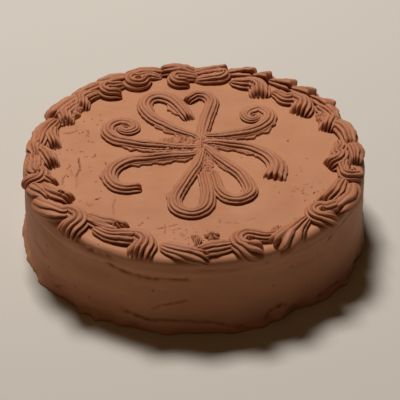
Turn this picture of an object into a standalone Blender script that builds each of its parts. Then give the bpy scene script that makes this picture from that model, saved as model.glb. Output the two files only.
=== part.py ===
import math

import bmesh
import bpy
import numpy as np

MM = 0.001

# Driving sizes, in millimetres and degrees.
TOP_RADIUS = 120.0
CAKE_HEIGHT = 59.0
RIM_ROUND = 5.0
RIM_STEPS = 3
FOOT_FLARE = 2.0
LEDGE_DEPTH = 1.2
SEGMENTS = 72
GAP = 0.3

BORDER_RADIUS = 108.0
SHELL_HEIGHT = 9.0
SHELL_RIDGES = 4
SHELL_SPACING = 6.0
SHELL_BURIED = 1.6
# A piece is cut back this far from a neighbour, and its cutter reaches this
# far down below the surface.
CUT_GAP = 0.4
CUTTER_DEPTH = 1.0

STROKE_HEIGHT = 6.5
STROKE_RIDGES = 4
STROKE_SPACING = 6.5
RIDGE_DEPTH = 0.17
# Parts of a stroke's width: half its flat underside, and its tallest height.
UNDERSIDE = 0.4
TALLEST = 0.8
# The lowest wall of a stroke above its underside, and how square its arch is.
LOW_WALL = 0.8
LEAST_WALL = 0.5
ARCH_POWER = 0.8
# In a tight turn a stroke reaches in to this part of the bend's radius.
BEND_FILL = 0.92

HUB_BENDS = ((5, 6), (4.5, 14), (5, 22), (5.5, 29))
HUB_WIDTHS = (3.5, 5.5, 6, 5.5, 5, 3)
HUB_RIDGES = 3
HUB_STEEPNESS = 1.15

# Where the icing runs out past the foot: angle, width in degrees, reach.
FOOT_LUMPS = ((196, 12, 1.2), (215, 9, 1.6), (237, 10, 1.8), (262, 12, 0.8),
              (283, 12, 1.2), (318, 12, 1.2), (20, 14, 1.4), (75, 14, 1.2),
              (128, 12, 1.5))

# The strokes on top: bends from the middle outwards, then the width at the
# tail, a quarter along, three quarters along and at the blunt end.
STROKES = {
    "loop_up_left": (((2, 27), (-10, 34), (-21, 43), (-31, 53), (-36, 66),
                      (-34, 77), (-26, 81), (-17, 77), (-11, 66), (-7, 52)),
                     (4, 9, 11, 12)),
    "loop_up_right": (((6, 31), (7.5, 41), (9.5, 53), (12, 65), (13, 74),
                       (9, 81), (2, 82), (-3, 77)),
                      (5, 10, 11, 9)),
    "scroll_right_up": (((9, 28), (22, 29), (35, 32), (47, 37), (55, 46),
                         (56, 57), (50, 64), (42, 62), (38, 55), (42, 50)),
                        (5, 8, 13, 6)),
    "hook_right_down": (((11, 20), (25, 17), (38, 13), (49, 7), (56, -3),
                         (58, -13), (56.5, -24)),
                        (5, 10, 14, 17)),
    "loop_down_right": (((11, 11), (17, 2), (25, -9), (33, -20), (38, -32),
                         (39, -43), (32, -50), (24, -48), (18, -40),
                         (16, -30), (14, -19)),
                        (5, 10, 11, 6)),
    "loop_down": (((5, 7), (2, -8), (-2, -19), (-6, -30), (-10, -41),
                   (-13, -52), (-10, -62), (0, -67), (8, -60), (10, -48),
                   (9, -35), (7, -22)),
                  (5, 9, 12, 7)),
    "hook_left_down": (((0, 6), (-15, 3), (-30, 0), (-45, -3), (-56, -11),
                        (-60, -23), (-55, -33), (-47, -37), (-38, -36)),
                       (4, 8, 11, 11)),
    "scroll_left_up": (((0, 14), (-20, 15), (-40, 18), (-56, 23), (-64, 32),
                        (-63, 42), (-55, 48), (-47, 46), (-43, 39),
                        (-48, 35)),
                       (4, 8, 12, 6)),
}

# The piped border, from the front round to the back on each side. Each row:
# side (1 turns outwards, -1 inwards), angle, start off the border's middle
# line, radius of the hook, turn of the hook, length of the tail, width.
LEFT_SHELLS = (
    (1, 268, 0, 9, 50, 16, 13),
    (1, 252, -4, 6, 150, 38, 15),
    (-1, 243, -12, 14, 10, 22, 12),
    (1, 224, -4, 6, 160, 38, 15),
    (-1, 208, -8, 13, 35, 20, 13),
    (-1, 196, -7, 8, 30, 5, 8),
    (1, 194, -2, 5.2, 235, 28, 11),
    (-1, 181, -5, 11, 40, 16, 13),
    (1, 172, 4, 8, 30, 32, 13),
    (-1, 167, -7, 11, 45, 18, 12),
    (-1, 152, -3, 9, 35, 20, 14),
    (1, 147, 4, 9, 25, 28, 12),
    (-1, 143, -4, 12, 25, 20, 12),
    (1, 133, 7, 8, 35, 22, 13),
    (-1, 125, 0, 8, 85, 18, 14),
    (1, 122, 7, 8, 35, 22, 12),
    (-1, 111, 2, 5.5, 225, 14, 11),
    (1, 111, 7, 8, 35, 22, 13),
    (-1, 97, -1, 8, 95, 14, 14),
    (1, 98, 4, 8, 35, 20, 12),
)
RIGHT_SHELLS = (
    (-1, 278, -2, 9, 60, 8, 13),
    (1, 289, -5, 6, 200, 28, 15),
    (1, 302, 1, 16, 30, 20, 20),
    (1, 321, -5, 6, 200, 26, 15),
    (-1, 331, -8, 13, 30, 20, 13),
    (1, 341, 3, 8, 60, 30, 13),
    (1, 354, 2, 5, 170, 14, 9),
    (-1, 358, -3, 9, 80, 24, 13),
    (1, 11, 6, 8, 30, 28, 13),
    (-1, 26, -4, 9, 60, 14, 14),
    (1, 38, 9, 8, 30, 22, 13),
    (-1, 44, 0, 9, 85, 22, 15),
    (1, 48, 9, 8, 30, 16, 13),
    (1, 58, 8, 8, 30, 16, 13),
    (-1, 64, 0, 9, 90, 18, 14),
    (1, 68, 7, 8, 30, 14, 12),
    (1, 76, 6, 8, 30, 14, 13),
    (-1, 79, -2, 10, 40, 14, 12),
    (1, 86, 4, 8, 30, 12, 12),
)

# How the side leans in and out, by the distance below the top: the crease
# under the rim, and the icing that spreads at the foot. The last ring of the
# foot is the flat base's own edge.
LEDGE_LINE = ((5.0, 10.5, 12.2, 30.0), (0.0, 0.3, -0.7, 0.0))
FOOT_LINE = ((45.0, 53.0, 57.5, 59.0), (0.0, 0.35, 0.95, 1.0))
SIDE_RINGS = LEDGE_LINE[0][1:] + FOOT_LINE[0][:-1]

# A tail and a head of a shell: how far along, then its part of the full size.
SHELL_WIDTH_LINE = ((0, 0.35, 0.8, 1), (0.35, 0.8, 1, 0.92))
SHELL_HEIGHT_LINE = ((0, 0.4, 0.8, 1), (0.35, 0.8, 1, 0.85))
STROKE_WIDTH_PLACES = (0, 0.25, 0.75, 1)
STROKE_HEIGHT_LINE = ((0, 0.3, 1), (0.6, 1, 0.95))
TAIL_BENDS = 3
TAIL_PULL = 0.6
HOOK_STEP = 30
FEWEST_STATIONS = 6

CURVE_STEPS = 24
STRAIGHT = 1e-6
NO_LIMIT = 1e3

ROUGHNESS = 0.6
COLOURS = {"icing": (0.45, 0.21, 0.12), "piping": (0.42, 0.19, 0.11)}


def clear_scene():
    for obj in list(bpy.data.objects):
        bpy.data.objects.remove(obj, do_unlink=True)


def collection(name):
    made = bpy.data.collections.get(name)
    if not made:
        made = bpy.data.collections.new(name)
        bpy.context.scene.collection.children.link(made)
    return made


def material(name):
    made = bpy.data.materials.get(name)
    if not made:
        made = bpy.data.materials.new(name)
        made.use_nodes = True
        shader = made.node_tree.nodes["Principled BSDF"]
        shader.inputs["Base Color"].default_value = (*COLOURS[name], 1)
        shader.inputs["Roughness"].default_value = ROUGHNESS
    return made


def add_object(name, mesh, slot, is_cutter):
    """Puts a mesh in the scene, a cutter out of sight of the render."""
    mesh.materials.append(material(slot))
    obj = bpy.data.objects.new(name, mesh)
    collection("cutters" if is_cutter else "chocolate_cake").objects.link(obj)
    if is_cutter:
        obj.hide_render = True
        obj.display_type = "WIRE"
    return obj


def loft(name, rings, is_cutter):
    """Joins rings of equal length into one closed body."""
    count = len(rings[0])
    points = [tuple(v * MM for v in p) for ring in rings for p in ring]
    faces = [tuple(range(count)), tuple(range(len(points) - count, len(points)))]
    for row in range(len(rings) - 1):
        for i in range(count):
            j = (i + 1) % count
            a, b = row * count, (row + 1) * count
            faces.append((a + i, a + j, b + j, b + i))
    mesh = bpy.data.meshes.new(name)
    mesh.from_pydata(points, [], faces)
    work = bmesh.new()
    work.from_mesh(mesh)
    bmesh.ops.recalc_face_normals(work, faces=work.faces)
    work.to_mesh(mesh)
    work.free()
    return add_object(name, mesh, "piping", is_cutter)


def rim_radius(angle):
    """The spatula leaves the outline a little out of round."""
    return (TOP_RADIUS + 0.5 * math.sin(2 * angle + 0.6)
            + 0.35 * math.sin(3 * angle + 2.0) + 0.2 * math.sin(7 * angle))


def foot_reach(angle):
    """How far the foot spreads, with the lumps where icing runs out."""
    reach = FOOT_FLARE + 0.4 * math.sin(9 * angle) + 0.3 * math.sin(14 * angle + 1)
    for middle, width, out in FOOT_LUMPS:
        away = (math.degrees(angle) - middle + 180) % 360 - 180
        reach += out * math.exp(-((away / width) ** 2) * 2.5)
    return reach


def side_radius(angle, below_top):
    """The side's radius; the crease shows on the left and at the front."""
    ledge = LEDGE_DEPTH * (0.5 + 0.5 * math.cos(angle - math.radians(225)))
    return (rim_radius(angle) + ledge * np.interp(below_top, *LEDGE_LINE)
            + foot_reach(angle) * np.interp(below_top, *FOOT_LINE))


def cake_profile(grow):
    """Radius and height from the middle of the top round to the base."""
    profile = [(0, CAKE_HEIGHT + grow)]
    for step in range(RIM_STEPS + 1):
        turn = math.pi / 2 * step / RIM_STEPS
        reach = RIM_ROUND + grow
        profile.append((TOP_RADIUS - RIM_ROUND + reach * math.sin(turn),
                        CAKE_HEIGHT - RIM_ROUND + reach * math.cos(turn)))
    for below in SIDE_RINGS:
        profile.append((TOP_RADIUS + grow, CAKE_HEIGHT - below))
    return profile + [(TOP_RADIUS + grow, -grow), (0, -grow)]


def cake(name, grow=0.0):
    """The iced cake: a turned profile, then the spatula's unevenness."""
    points = [(r * MM, 0, z * MM) for r, z in cake_profile(grow)]
    edges = [(i, i + 1) for i in range(len(points) - 1)]
    mesh = bpy.data.meshes.new(name)
    mesh.from_pydata(points, edges, [])
    obj = add_object(name, mesh, "icing", grow > 0)
    turn = obj.modifiers.new("turn", "SCREW")
    turn.steps = SEGMENTS
    turn.render_steps = SEGMENTS
    turn.use_merge_vertices = True
    turn.merge_threshold = 0.0001
    graph = bpy.context.evaluated_depsgraph_get()
    obj.data = bpy.data.meshes.new_from_object(obj.evaluated_get(graph))
    obj.modifiers.clear()
    for point in obj.data.vertices:
        angle = math.atan2(point.co.y, point.co.x)
        scale = side_radius(angle, CAKE_HEIGHT - point.co.z / MM) / TOP_RADIUS
        point.co.x *= scale
        point.co.y *= scale
    return obj


def on_cake(x, y, above):
    """A point this far above the icing, x and y measured along it."""
    along = math.hypot(x, y)
    angle = math.atan2(y, x)
    edge = rim_radius(angle) - RIM_ROUND
    if along <= edge:
        return (x, y, CAKE_HEIGHT + above)
    turn = min((along - edge) / RIM_ROUND, math.pi / 2)
    beyond = max(along - edge - RIM_ROUND * math.pi / 2, 0)
    out = edge + (RIM_ROUND + above) * math.sin(turn)
    height = CAKE_HEIGHT - RIM_ROUND + (RIM_ROUND + above) * math.cos(turn)
    return (out * math.cos(angle), out * math.sin(angle), height - beyond)


def star_section(width, height, ridges, base):
    """Half a piped star: ridges over an arch, closed by a flat underside."""
    points = [(-UNDERSIDE * width, base)]
    for k in range(2 * ridges + 1):
        turn = math.pi * (1 - k / (2 * ridges))
        reach = 1 if k % 2 else 1 - RIDGE_DEPTH
        across = 0.5 * width * reach * math.cos(turn)
        rise = (height - LOW_WALL) * reach * math.sin(turn) ** ARCH_POWER + LOW_WALL
        points.append((across, max(rise, base + LEAST_WALL)))
    points.append((UNDERSIDE * width, base))
    return points


def curve_through(bends, count):
    """Even stations on a smooth curve through the bends, and its normals."""
    bends = np.array(bends, float)
    ends = np.vstack([2 * bends[0] - bends[1], bends, 2 * bends[-1] - bends[-2]])
    fine = []
    for i in range(len(bends) - 1):
        a, b, c, d = ends[i:i + 4]
        for t in np.linspace(0, 1, CURVE_STEPS, endpoint=False):
            fine.append(0.5 * (2 * b + (c - a) * t
                               + (2 * a - 5 * b + 4 * c - d) * t ** 2
                               + (3 * b - a - 3 * c + d) * t ** 3))
    fine.append(bends[-1])
    fine = np.array(fine)
    gone = np.append(0, np.cumsum(np.hypot(*np.diff(fine, axis=0).T)))
    at = np.linspace(0, gone[-1], count)
    places = np.column_stack([np.interp(at, gone, fine[:, k]) for k in (0, 1)])
    ahead = np.gradient(places, axis=0)
    ahead /= np.hypot(*ahead.T)[:, None]
    return places, np.column_stack([-ahead[:, 1], ahead[:, 0]]), gone[-1]


def stations(bends, count, grow):
    """Even stations along the bends, both ends reaching out by the growth."""
    places, normals, _ = curve_through(bends, count)
    ahead = np.column_stack([normals[:, 1], -normals[:, 0]])
    places[0] -= ahead[0] * grow
    places[-1] += ahead[-1] * grow
    return places, normals


def bend_limits(places, normals):
    """How far each station may reach to its left and right in a tight turn."""
    steps = np.gradient(places, axis=0)
    swing = (np.gradient(normals, axis=0) * steps).sum(axis=1)
    length = (steps ** 2).sum(axis=1)
    curl = swing / length
    left = np.where(curl < -STRAIGHT, -BEND_FILL / np.minimum(curl, -STRAIGHT), NO_LIMIT)
    right = np.where(curl > STRAIGHT, BEND_FILL / np.maximum(curl, STRAIGHT), NO_LIMIT)
    return left, right


def swept(name, places, normals, widths, heights, ridges, base, grow):
    """A star section swept along the stations, on the cake's surface."""
    left, right = bend_limits(places, normals)
    rings = []
    for i, (x, y) in enumerate(places):
        section = star_section(widths[i] + 2 * grow, heights[i] + grow, ridges, base)
        ring = []
        for across, rise in section:
            across = max(min(across, left[i] + grow), -right[i] - grow)
            ring.append(on_cake(x + normals[i][0] * across,
                                y + normals[i][1] * across, rise))
        rings.append(ring)
    return loft(name, rings, grow > 0)


def stroke(name, grow=0.0):
    """One piped stroke of the ornament, thin at the middle of the cake."""
    bends, sizes = STROKES[name]
    count = int(curve_through(bends, 50)[2] / STROKE_SPACING) + 2
    places, normals = stations(bends, count, grow)
    t = np.linspace(0, 1, count)
    widths = np.interp(t, STROKE_WIDTH_PLACES, sizes)
    heights = STROKE_HEIGHT * np.interp(t, *STROKE_HEIGHT_LINE)
    heights = np.minimum(heights, widths * TALLEST)
    return swept(name, places, normals, widths, heights, STROKE_RIDGES,
                 -CUTTER_DEPTH if grow else GAP, grow)


def shell_bends(row, towards_tail):
    """Bends of one shell from its tail to its blunt end, round the rim."""
    side, angle, start, radius, turn, tail, _ = row
    bends = []
    for k in range(TAIL_BENDS):
        left = 1 - k / TAIL_BENDS
        bends.append((tail * left, start * (1 - TAIL_PULL * left)))
    steps = max(int(turn / HOOK_STEP), 2)
    for k in range(steps + 1):
        a = math.radians(turn) * k / steps
        bends.append((-radius * math.sin(a), start + side * radius * (1 - math.cos(a))))
    placed = []
    for along, out in bends:
        at = math.radians(angle) + towards_tail * along / BORDER_RADIUS
        reach = BORDER_RADIUS + out
        placed.append((reach * math.cos(at), reach * math.sin(at)))
    return placed


def shell(name, row, towards_tail, grow=0.0):
    """One shell of the border, its tail thin and its head blunt."""
    bends = shell_bends(row, towards_tail)
    count = max(int(curve_through(bends, 40)[2] / SHELL_SPACING) + 1, FEWEST_STATIONS)
    places, normals = stations(bends, count, grow)
    t = np.linspace(0, 1, count)
    widths = row[-1] * np.interp(t, *SHELL_WIDTH_LINE)
    heights = SHELL_HEIGHT * np.interp(t, *SHELL_HEIGHT_LINE)
    return swept(name, places, normals, widths, heights, SHELL_RIDGES,
                 -SHELL_BURIED - (CUTTER_DEPTH if grow else 0), grow)


def largest_part(mesh):
    """Drops the scraps that a cut leaves beyond a neighbour."""
    work = bmesh.new()
    work.from_mesh(mesh)
    left = set(work.faces)
    parts = []
    while left:
        part, edge = set(), [left.pop()]
        while edge:
            face = edge.pop()
            part.add(face)
            near = {f for e in face.edges for f in e.link_faces} & left
            left -= near
            edge.extend(near)
        parts.append(part)
    keep = max(parts, key=lambda p: sum(f.calc_area() for f in p))
    scraps = [f for f in work.faces if f not in keep]
    bmesh.ops.delete(work, geom=scraps, context="FACES")
    bmesh.ops.triangulate(work, faces=work.faces)
    work.to_mesh(mesh)
    work.free()


def is_closed(mesh):
    """True where every edge of the mesh joins just two faces."""
    work = bmesh.new()
    work.from_mesh(mesh)
    closed = bool(work.faces) and all(e.is_manifold for e in work.edges)
    work.free()
    return closed


def less(obj, cutter, solver):
    """The object's mesh without the cutter, its largest part only."""
    change = obj.modifiers.new("cut", "BOOLEAN")
    change.operation = "DIFFERENCE"
    change.solver = solver
    change.object = cutter
    graph = bpy.context.evaluated_depsgraph_get()
    done = bpy.data.meshes.new_from_object(obj.evaluated_get(graph))
    obj.modifiers.clear()
    if done.polygons:
        largest_part(done)
    return done


def cut(obj, cutters):
    """Takes each cutter out of the object, one after another."""
    for cutter in cutters:
        done = less(obj, cutter, "EXACT")
        if not is_closed(done):
            done = less(obj, cutter, "MANIFOLD")
        obj.data = done


def remove(objects):
    for obj in objects:
        bpy.data.objects.remove(obj, do_unlink=True)


def boxes_meet(a, b):
    """True where two objects' boxes overlap, so that a cut can matter."""
    spans = []
    for obj in (a, b):
        points = np.array([v.co for v in obj.data.vertices])
        spans.append((points.min(axis=0), points.max(axis=0)))
    (low_a, high_a), (low_b, high_b) = spans
    return bool(np.all(low_a < high_b) and np.all(low_b < high_a))


def hub(name, grow=0.0):
    """The raised ridge of icing where the strokes meet."""
    places, normals = stations(HUB_BENDS, len(HUB_WIDTHS), grow)
    widths = np.array(HUB_WIDTHS)
    heights = np.minimum(widths * HUB_STEEPNESS, STROKE_HEIGHT)
    return swept(name, places, normals, widths, heights, HUB_RIDGES,
                 -CUTTER_DEPTH if grow else GAP, grow)


def build_strokes():
    """The ornament: each later stroke gives way to those before it."""
    hub("ornament_hub")
    earlier = [hub("hub_cutter", GAP)]
    for name in STROKES:
        obj = stroke(name)
        cut(obj, [c for c in earlier if boxes_meet(obj, c)])
        earlier.append(stroke(name, CUT_GAP))
    remove(earlier)


def build_border():
    """The shells: those at the back stay whole, and nearer ones give way."""
    under = cake("cake_cutter", GAP)
    rows = [("border_left", k + 1, row, -1) for k, row in enumerate(LEFT_SHELLS)]
    rows += [("border_right", k + 1, row, 1) for k, row in enumerate(RIGHT_SHELLS)]
    rows.sort(key=lambda r: abs((r[2][1] - 270 + 180) % 360 - 180), reverse=True)
    earlier = []
    for side, number, row, towards_tail in rows:
        name = f"{side}_{number:02d}"
        obj = shell(name, row, towards_tail)
        cut(obj, [c for c in earlier if boxes_meet(obj, c)] + [under])
        earlier.append(shell(name + "_cutter", row, towards_tail, CUT_GAP))
    remove(earlier + [under])


def main():
    clear_scene()
    cake("cake_body")
    build_strokes()
    build_border()


main()
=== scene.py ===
import math

import bmesh
import bpy
import numpy as np
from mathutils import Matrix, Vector
from mathutils.kdtree import KDTree


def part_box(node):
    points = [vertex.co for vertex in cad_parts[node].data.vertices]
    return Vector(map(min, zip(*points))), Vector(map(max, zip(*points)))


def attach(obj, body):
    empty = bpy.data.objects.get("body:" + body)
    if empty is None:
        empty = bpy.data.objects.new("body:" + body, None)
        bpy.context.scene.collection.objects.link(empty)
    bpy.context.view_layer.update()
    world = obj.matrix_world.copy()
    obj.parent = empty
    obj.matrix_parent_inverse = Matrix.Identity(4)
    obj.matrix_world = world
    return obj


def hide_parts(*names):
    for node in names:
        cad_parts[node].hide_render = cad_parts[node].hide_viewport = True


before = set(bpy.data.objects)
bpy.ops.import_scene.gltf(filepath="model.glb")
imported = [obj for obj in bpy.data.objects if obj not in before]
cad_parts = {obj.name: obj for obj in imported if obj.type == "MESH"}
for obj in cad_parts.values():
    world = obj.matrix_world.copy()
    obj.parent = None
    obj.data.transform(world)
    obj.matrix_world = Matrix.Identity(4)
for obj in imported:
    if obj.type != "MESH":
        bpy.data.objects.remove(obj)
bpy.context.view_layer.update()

MM = 0.001

# The cake, in millimetres and degrees. Its height is read from the frame.
CAKE_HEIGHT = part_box("cake_body")[1].z / MM
TOP_RADIUS = 120.0
RIM_ROUND = 5.0
FOOT_FLARE = 2.0
LEDGE_DEPTH = 1.2
FOOT_LUMPS = ((196, 12, 1.2), (215, 9, 1.6), (237, 10, 1.8), (262, 12, 0.8),
              (283, 12, 1.2), (318, 12, 1.2), (20, 14, 1.4), (75, 14, 1.2),
              (128, 12, 1.5))
LEDGE_LINE = ((5.0, 10.5, 12.2, 30.0), (0.0, 0.3, -0.7, 0.0))
FOOT_LINE = ((45.0, 53.0, 57.5, 59.0), (0.0, 0.35, 0.95, 1.0))
FOOT_LUMP_FALL = 2.5
LEDGE_ANGLE = 225
# Waves round the outline: reach, how many, and phase.
RIM_WAVES = ((0.5, 2, 0.6), (0.35, 3, 2.0), (0.2, 7, 0.0))
FOOT_WAVES = ((0.4, 9, 0.0), (0.3, 14, 1.0))

# Smooth noise: how many waves it adds up, and how their lengths spread.
WAVE_COUNT = 12
WAVE_SPREAD = (0.6, 1.6)
# Seeds of all that is random. For pieces, the step from one to the next too.
SEEDS = {"swell": 3, "top": 5, "side": 8, "marks": 11, "foot": 14, "crumbs": 21}
PIECE_SEEDS = {"hub": (500, 0), "stroke": (600, 80), "shell": (1000, 70), "dab": (6000, 70),
               "smear": (7000, 50)}

# The fine surface of the icing: columns round the cake, and rings. Near the
# marks each face is cut into smaller ones.
COLUMNS = 420
TOP_RINGS = ((2.0, 24.0, 8), (24.0, 60.0, 16), (60.0, 115.0, 40))
RIM_RINGS = 8
SIDE_RINGS = 40
REFINE_CUTS = 3
BASE_RINGS = (0.97, 0.5)
# Its unevenness. For the grains: strength, how they are stretched or squeezed
# in x, y and z, feature size and layers. Near the foot it is rougher.
SWELL = 0.22
SWELL_SIZE = 55.0
TOP_GRAIN = (0.07, (1.6, 0.7, 1), 14.0)
SIDE_GRAIN = (0.14, (1, 1, 7), 90.0, 3)
FOOT_GRAIN = (0.42, (1, 1, 1.8), 17.0, 4)
FOOT_ZONE = 14
FOOT_ZONE_FALL = 1.5

# Piping. Widths and heights follow a line along the piece, as parts of the
# full size; the grooves between the ridges are parts of the half width. Then
# how deep the edge goes into the icing, the length of the pointed tail, of the
# teeth and of the rounded nose, how much the nose narrows, how steep the arch
# is, how rough it is at the tail, and how much painted shade darkens the grooves.
SHELL = {"ridges": 6, "groove": 0.25, "sunk": 1.6, "tip": 5.0, "tooth": 3.2, "nose": 5.0,
         "pinch": 0.34, "arch": 1.1, "rough": 0.012, "dark": 0.85}
STROKE = {"ridges": 5, "groove": 0.27, "sunk": 0.8, "tip": 0.8, "tooth": 3.0, "nose": 4.2,
          "pinch": 0.36, "arch": 1.3, "rough": 0.05, "dark": 0.8}
HUB = {**STROKE, "ridges": 3, "tip": 4.0}
FANNED = {**STROKE, "groove": 0.3, "tooth": 5.0, "nose": 3.0, "pinch": 0.1}
STUBBY = {**SHELL, "nose": 3.2, "pinch": 0.2, "rough": 0.03}
SMEARED = {**SHELL, "groove": 0.14, "rough": 0.05, "dark": 0.5}
OPENED = {**SHELL, "groove": 0.36, "tooth": 4.5, "pinch": 0.2}
STYLES = {"hook_right_down": FANNED, "border_right_03": OPENED, "border_right_05": OPENED,
          "border_left_11": SMEARED, "border_left_12": SMEARED, "border_left_13": SMEARED,
          "border_right_10": SMEARED}
SHELL_LOWER = 0.86
NARROW_SHELL = 14.5
NARROW_RIDGES = 5
WIDTH_PLACES = (0, 0.3, 0.7, 1)
SHELL_HEIGHT_LINE = ((0, 0.4, 0.75, 1), (0.5, 0.85, 1, 0.92))
RISING_HEIGHT_LINE = ((0, 0.4, 0.75, 1), (0.4, 0.55, 0.8, 0.95))
STROKE_HEIGHT = 5.0
STROKE_WIDTH_PLACES = (0, 0.25, 0.75, 1)
STROKE_HEIGHT_LINE = ((0, 0.3, 1), (0.6, 1, 0.95))
SCROLL_HEIGHT_LINE = ((0, 0.3, 0.7, 1), (0.6, 1, 0.95, 0.5))
# A piece is at most this part of its width high. Along it the stations are
# this far apart, and its arch stands on a low wall.
TALLEST = 0.8
STATION_STEP = 0.75
CURVE_PARTS = 24
FEWEST_STEPS = 8
POINTS_PER_RIDGE = 9
LOW_WALL = 0.8
LOWEST_ARCH = 0.3
TAIL_TIP = 0.04
CREST_SHAPE = 0.85
# In a tight turn the inner side is drawn in, to leave this part of the room.
BEND_FILL = 0.92
BEND_WINDOW = 5.0
STRAIGHT = 1e-4
ANY_REACH = 1e3
# Unevenness of the piping, over a grid as wide as this: strength, stretch
# across and along, and feature size. It tears where the noise is high.
GRID_WIDTH = 40
RIDGE_WANDER = (0.012, 1, 30.0)
GROOVE_GRAIN = (0.22, (9, 40), 1.5)
LONG_GRAIN = (0.018, (1, 16), 2.2)
CROSS_GRAIN = (0.016, (3, 1), 7.0)
TEAR_GRAIN = (1, (2.2, 1), 2.6)
FINE_GRAIN = (1, (1, 1), 2.4)
TEAR_LEVEL = 1.7
TEAR_DEPTH = 0.05
# Torn spots get painted shade as well as being pressed in.
TORN_PIPING_SHADE = 0.4
# The grooves begin shallower over the first part of the length, and the
# roughness fades to its least over another.
TAIL_GROOVE = 0.85
TAIL_PART = 0.25
LEAST_ROUGH = 0.25
ROUGH_PART = 0.4
# The icing squeezed out along an edge: its section as parts of its reach and
# thickness, its seeds by side, and how flanges widen and thicken it.
SKIRT_SHARES = (1, 1, 0.8, 0.35, 0.1)
SKIRT_LIFTS = (0.0, 0.7, 1.2, 0.75, 0.4)
SKIRT_SEEDS = {1: 20, -1: 40}
SKIRT_REACH = 0.3
SKIRT_LEAST = 0.12
SKIRT_RAGGED = 0.1
SKIRT_FEATURE = 14.0
SKIRT_LAYERS = 3
SKIRT_THICK = 0.9
# A little painted groove shade on the squeezed-out icing, and how near a ridge it counts for the
# teeth.
SKIRT_SHADE = 0.2
SKIRT_CREST = 0.4
FLANGE_RAGGED = 0.16
FLANGE_FADE = 0.08
FLANGE_THICK = 0.7
FLANGE_FROM = 0.8
# The blunt end opens into teeth over this length and rounds off in these turns.
END_OPENING = 7.0
END_GROOVE = 0.7
TOOTH_MIDDLE = 0.6
NOSE_TURNS = (12, 24, 36, 48, 60, 72, 84)
NOSE_FALL = 0.8
NOSE_SUNK = 0.5
NOSE_EVEN = 0.45
# Painted shade darkens the nose as it turns down.
NOSE_SHADE = 0.25
FULL_END = 11.0

HUB_BENDS = ((5, 6), (4.5, 14), (5, 22), (5.5, 29))
HUB_WIDTHS = (3, 4.5, 5, 4.5, 4, 3)
HUB_STEEPNESS = 1.15
HUB_MIDDLE = (5.0, 17.0)
TAIL_LEAD = 0.55

# The strokes on top: bends from the middle outwards, then the width at the
# tail, a quarter along, three quarters along and at the blunt end.
STROKES = {
    "loop_up_left": (
        ((2, 27), (-10, 34), (-21, 43), (-31, 53), (-36, 66), (-34, 77), (-26, 81), (-17, 77),
         (-10, 67), (-5, 55)), (6, 10, 13, 10)),
    "loop_up_right": (
        ((6, 31), (7.5, 41), (9.5, 53), (12, 65), (13, 74), (9, 81), (2, 82), (-3, 77)),
        (8, 11, 11, 9)),
    "scroll_right_up": (
        ((9, 28), (22, 29), (35, 32), (46, 38), (53, 47), (54, 56), (48, 63), (41, 61), (38, 55),
         (41, 50), (46, 52), (45, 56), (42, 55)), (5, 11, 13, 3)),
    "hook_right_down": (
        ((11, 20), (25, 17), (38, 13), (49, 7), (56, -3), (58.5, -11), (57, -20)),
        (7, 10, 14, 17)),
    "loop_down_right": (
        ((11, 11), (17, 2), (25, -9), (33, -20), (38, -32), (39, -43), (32, -50), (24, -48),
         (18, -40), (16, -30), (14, -19)), (7, 10, 11, 7)),
    "loop_down": (
        ((5, 7), (2, -8), (-2, -19), (-6, -30), (-10, -41), (-13, -52), (-10, -62), (0, -67),
         (8, -60), (10, -48), (9, -35), (7, -21)), (8, 10, 12, 9)),
    "hook_left_down": (
        ((0, 6), (-15, 3), (-30, 0), (-45, -3), (-55, -11), (-58.5, -23), (-54, -33),
         (-47, -36.5), (-41, -36)), (6, 9, 12, 11)),
    "scroll_left_up": (
        ((0, 14), (-20, 15), (-40, 18), (-54, 23), (-61, 32), (-60, 41), (-53, 46), (-46, 44),
         (-43, 38), (-47, 34), (-52, 36), (-52, 40), (-48, 40)), (6, 10, 13, 4)),
}

# Torn flanges of icing squeezed out beside a stroke: side (1 is to the left
# of the way it runs), from and to as parts of its length, and reach.
FLANGES = {
    "hook_left_down": ((1, 0.1, 0.5, 3.2), (-1, 0.58, 0.8, 2.2)),
    "scroll_left_up": ((1, 0.1, 0.42, 3.6),),
    "scroll_right_up": ((-1, 0.2, 0.52, 3.0),),
    "loop_down": ((-1, 0.34, 0.5, 2.4), (1, 0.5, 0.62, 1.8)),
    "loop_down_right": ((-1, 0.5, 0.68, 2.6), (-1, 0.1, 0.3, 1.4)),
    "loop_up_left": ((-1, 0.84, 0.96, 5.0), (1, 0.93, 0.99, 2.0), (1, 0.06, 0.34, 2.4),
                     (-1, 0.3, 0.6, 1.4)),
    "hook_right_down": ((-1, 0.08, 0.62, 2.4),),
}

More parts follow.
